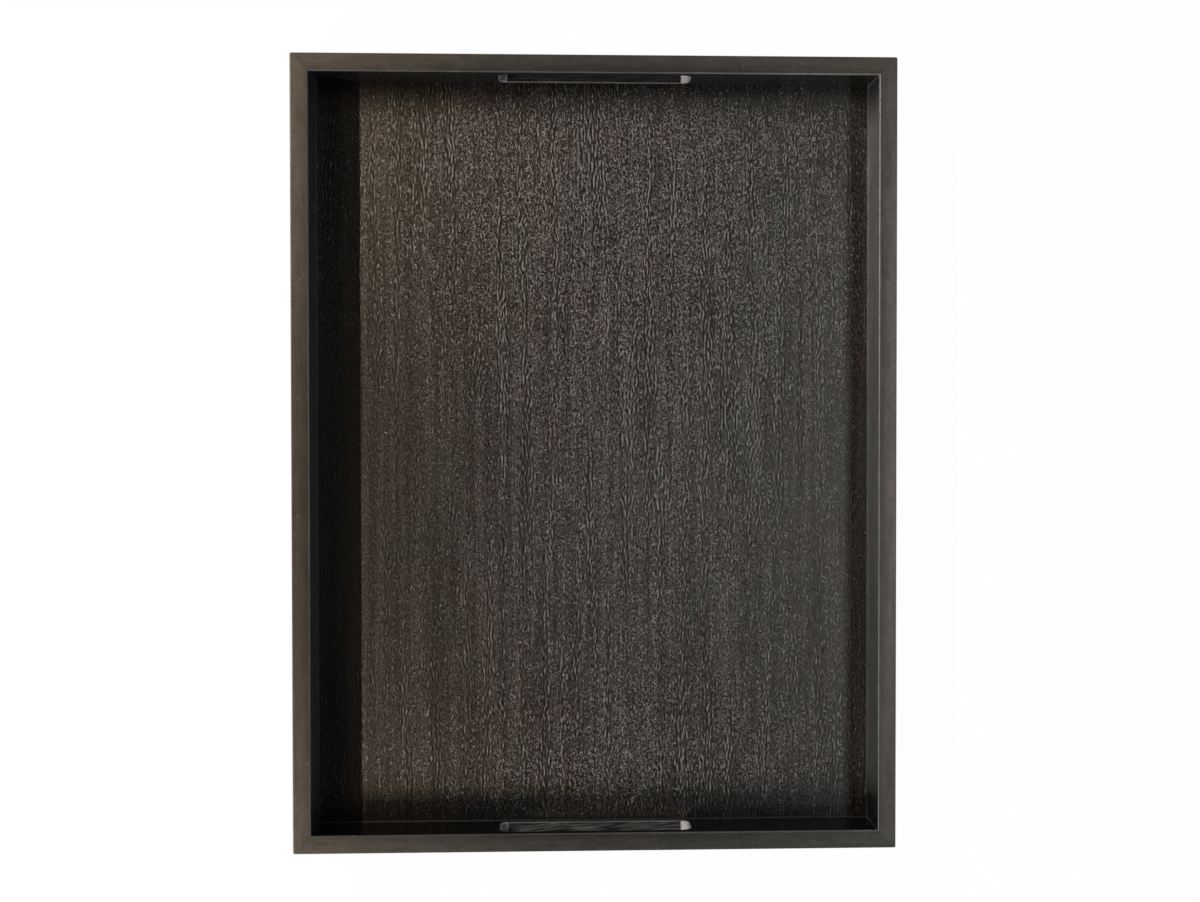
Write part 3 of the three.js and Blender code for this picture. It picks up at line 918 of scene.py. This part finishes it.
pad_tree, given = new_tree("felt_pads", Radius="Float", Thickness="Float", Drawn_In="Float",
                           Material="Material")
disc = add_node(pad_tree, "GeometryNodeMeshCylinder", {
    "Vertices": 48, "Side Segments": 8, "Fill Segments": 3, "Radius": given["Radius"],
    "Depth": given["Thickness"]})
position = add_node(pad_tree, "GeometryNodeInputPosition")
spot = add_node(pad_tree, "ShaderNodeSeparateXYZ", {0: position}).outputs
known = {"x": spot[0], "y": spot[1], "z": spot[2], "thickness": given["Thickness"],
         "drawn_in": given["Drawn In"]}
for step, operation, *terms in (
        ("half", "MULTIPLY", "thickness", 0.5),
        ("height", "ABSOLUTE", "z"),
        ("rise", "DIVIDE", "height", "half"),
        ("late", "POWER", "rise", PAD_LATE),
        ("drawn", "MULTIPLY", "late", "drawn_in"),
        ("kept", "SUBTRACT", 1.0, "drawn"),
        ("new_x", "MULTIPLY", "x", "kept"),
        ("new_y", "MULTIPLY", "y", "kept")):
    known[step] = add_node(pad_tree, "ShaderNodeMath", {i: known.get(t, t) for i, t in enumerate(terms)},
                           operation=operation)
slim = add_node(pad_tree, "ShaderNodeCombineXYZ", {0: known["new_x"], 1: known["new_y"], 2: spot[2]})
pad = add_node(pad_tree, "GeometryNodeSetPosition", {"Geometry": disc, "Position": slim})
set_out = add_node(pad_tree, "GeometryNodeInstanceOnPoints", {"Points": given["Geometry"], "Instance": pad})
end_tree(pad_tree, set_out, given["Material"])

spots = bpy.data.meshes.new("pad_spots")
spots.from_pydata([sum(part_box(node), Vector()) / 2 for node in PAD_NODES], [], [])
start = with_tree("pad_spots", spots, pad_tree, Radius=(pad_high.x - pad_low.x) / 2,
                  Thickness=pad_high.z - pad_low.z, Drawn_In=PAD_DRAWN_IN, Material=felt)
pads = as_plain_mesh(start, "dressed_felt_pads")
smooth_but_crisp(pads, PAD_SHARP_ANGLE)
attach(pads, "root")
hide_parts(*PAD_NODES)
print("pads:", len(PAD_NODES), "faces:", len(pads.data.polygons))

# %% [markdown]
# ## Lacquer in the corners
# Where lacquer is sprayed into a corner it runs together and dries as a small hollow bead. In the
# photograph it shows as a thin light line at the foot of the long walls and of the front wall, and up the
# inner corners. It follows paths, so one hollow section is drawn along the foot of a long wall, of the
# front wall and up a corner, and the corner's bead is set in all four.

# %% Tree of the lacquer bead
bead_tree, given = new_tree("lacquer_bead", Width="Float", Length="Float", Foot="Float", Top="Float",
                            Material="Material")
hollow = add_node(bead_tree, "GeometryNodeMeshToCurve", {"Mesh": given["Geometry"]})
position = add_node(bead_tree, "GeometryNodeInputPosition")
spot = add_node(bead_tree, "ShaderNodeSeparateXYZ", {0: position}).outputs
known = {"width": given["Width"], "length": given["Length"], "x": spot[0], "y": spot[1]}
for step, operation, *terms in (
        ("half_width", "MULTIPLY", "width", 0.5),
        ("minus_width", "MULTIPLY", "width", -0.5),
        ("half_length", "MULTIPLY", "length", 0.5),
        ("minus_length", "MULTIPLY", "length", -0.5),
        ("side_x", "SIGN", "x"),
        ("side_y", "SIGN", "y"),
        ("corner_angle", "ARCTAN2", "side_y", "side_x"),
        ("turn", "SUBTRACT", "corner_angle", math.pi / 4)):
    known[step] = add_node(bead_tree, "ShaderNodeMath", {i: known.get(t, t) for i, t in enumerate(terms)},
                           operation=operation)
foot = add_node(bead_tree, "ShaderNodeCombineXYZ", {2: given["Foot"]})
top = add_node(bead_tree, "ShaderNodeCombineXYZ", {2: given["Top"]})
paths = {"corner": (foot, top)}
for path, away, *ends in (("right", "half_width", "minus_length", "half_length"),
                          ("end", "half_length", "minus_width", "half_width")):
    paths[path] = [add_node(bead_tree, "ShaderNodeCombineXYZ", {
        0: known[away], 1: known[end], 2: given["Foot"]}) for end in ends]
beads = {}
for path, (first, last) in paths.items():
    line = add_node(bead_tree, "GeometryNodeCurvePrimitiveLine", {"Start": first, "End": last})
    beads[path] = add_node(bead_tree, "GeometryNodeCurveToMesh", {
        "Curve": line, "Profile Curve": hollow, "Fill Caps": True})
left_foot = add_node(bead_tree, "GeometryNodeTransform", {
    "Geometry": beads["right"], "Rotation": (0, 0, math.pi)})
front_foot = add_node(bead_tree, "GeometryNodeTransform", {
    "Geometry": beads["end"], "Rotation": (0, 0, -math.pi / 2)})
corners = add_node(bead_tree, "GeometryNodeCurvePrimitiveQuadrilateral", {
    "Width": given["Width"], "Height": given["Length"]})
turn = add_node(bead_tree, "ShaderNodeCombineXYZ", {2: known["turn"]})
stood = add_node(bead_tree, "GeometryNodeInstanceOnPoints", {
    "Points": corners, "Instance": beads["corner"], "Rotation": turn})
joined = add_node(bead_tree, "GeometryNodeJoinGeometry", {0: beads["right"]})
for more in (left_foot, front_foot, stood):
    bead_tree.links.new(more.outputs[0], joined.inputs[0])
end_tree(bead_tree, joined, given["Material"])
print("bead tree nodes:", len(bead_tree.nodes))

# %% [markdown]
# The bead's section is a corner whose long side is a hollow quarter circle. Its finish is that of the right
# wall, with its painted light and shade, beside which it shows most, with less gloss and with tones of its
# own at the ends: a painted highlight, where it stands out from the dark corners.

# %% Bead of lacquer
BEAD = 1.0 * MM  # height and width
BEAD_GLOSS = 0.3
# painted highlight and shade along the bead, from its front end to its rear end
BEAD_TONES = ((0.0, "#2b2a29"), (0.008, "#242322"), (0.034, "#0a0a0a"), (0.067, "#2d2d2e"),
              (0.94, "#525253"), (0.98, "#343434"), (1.0, "#4c4b4a"))

lacquer = stained_rail_wood(  # a thin light line, a painted highlight
    "lacquer_in_the_corners", **dict(RIGHT_RAIL, walls=BEAD_TONES), wall_gloss=BEAD_GLOSS)
angles = [math.pi / 2 * step / ROUND_STEPS for step in range(ROUND_STEPS + 1)]
arc = [(-BEAD * (1 - math.sin(a)), BEAD * (1 - math.cos(a))) for a in angles]
start = with_tree("bead_start", closed_line("bead_section", [(0, 0), *arc]), bead_tree, Width=2 * inner_x,
                  Length=2 * inner_y, Foot=panel_high.z, Top=rail_high.z - EDGE_RADIUS, Material=lacquer)
bead = as_plain_mesh(start, "lacquer_bead")
smooth_but_crisp(bead)
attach(bead, "root")
print("bead volume (mm3):", round(volume(bead) / MM ** 3, 1), "faces:", len(bead.data.polygons))
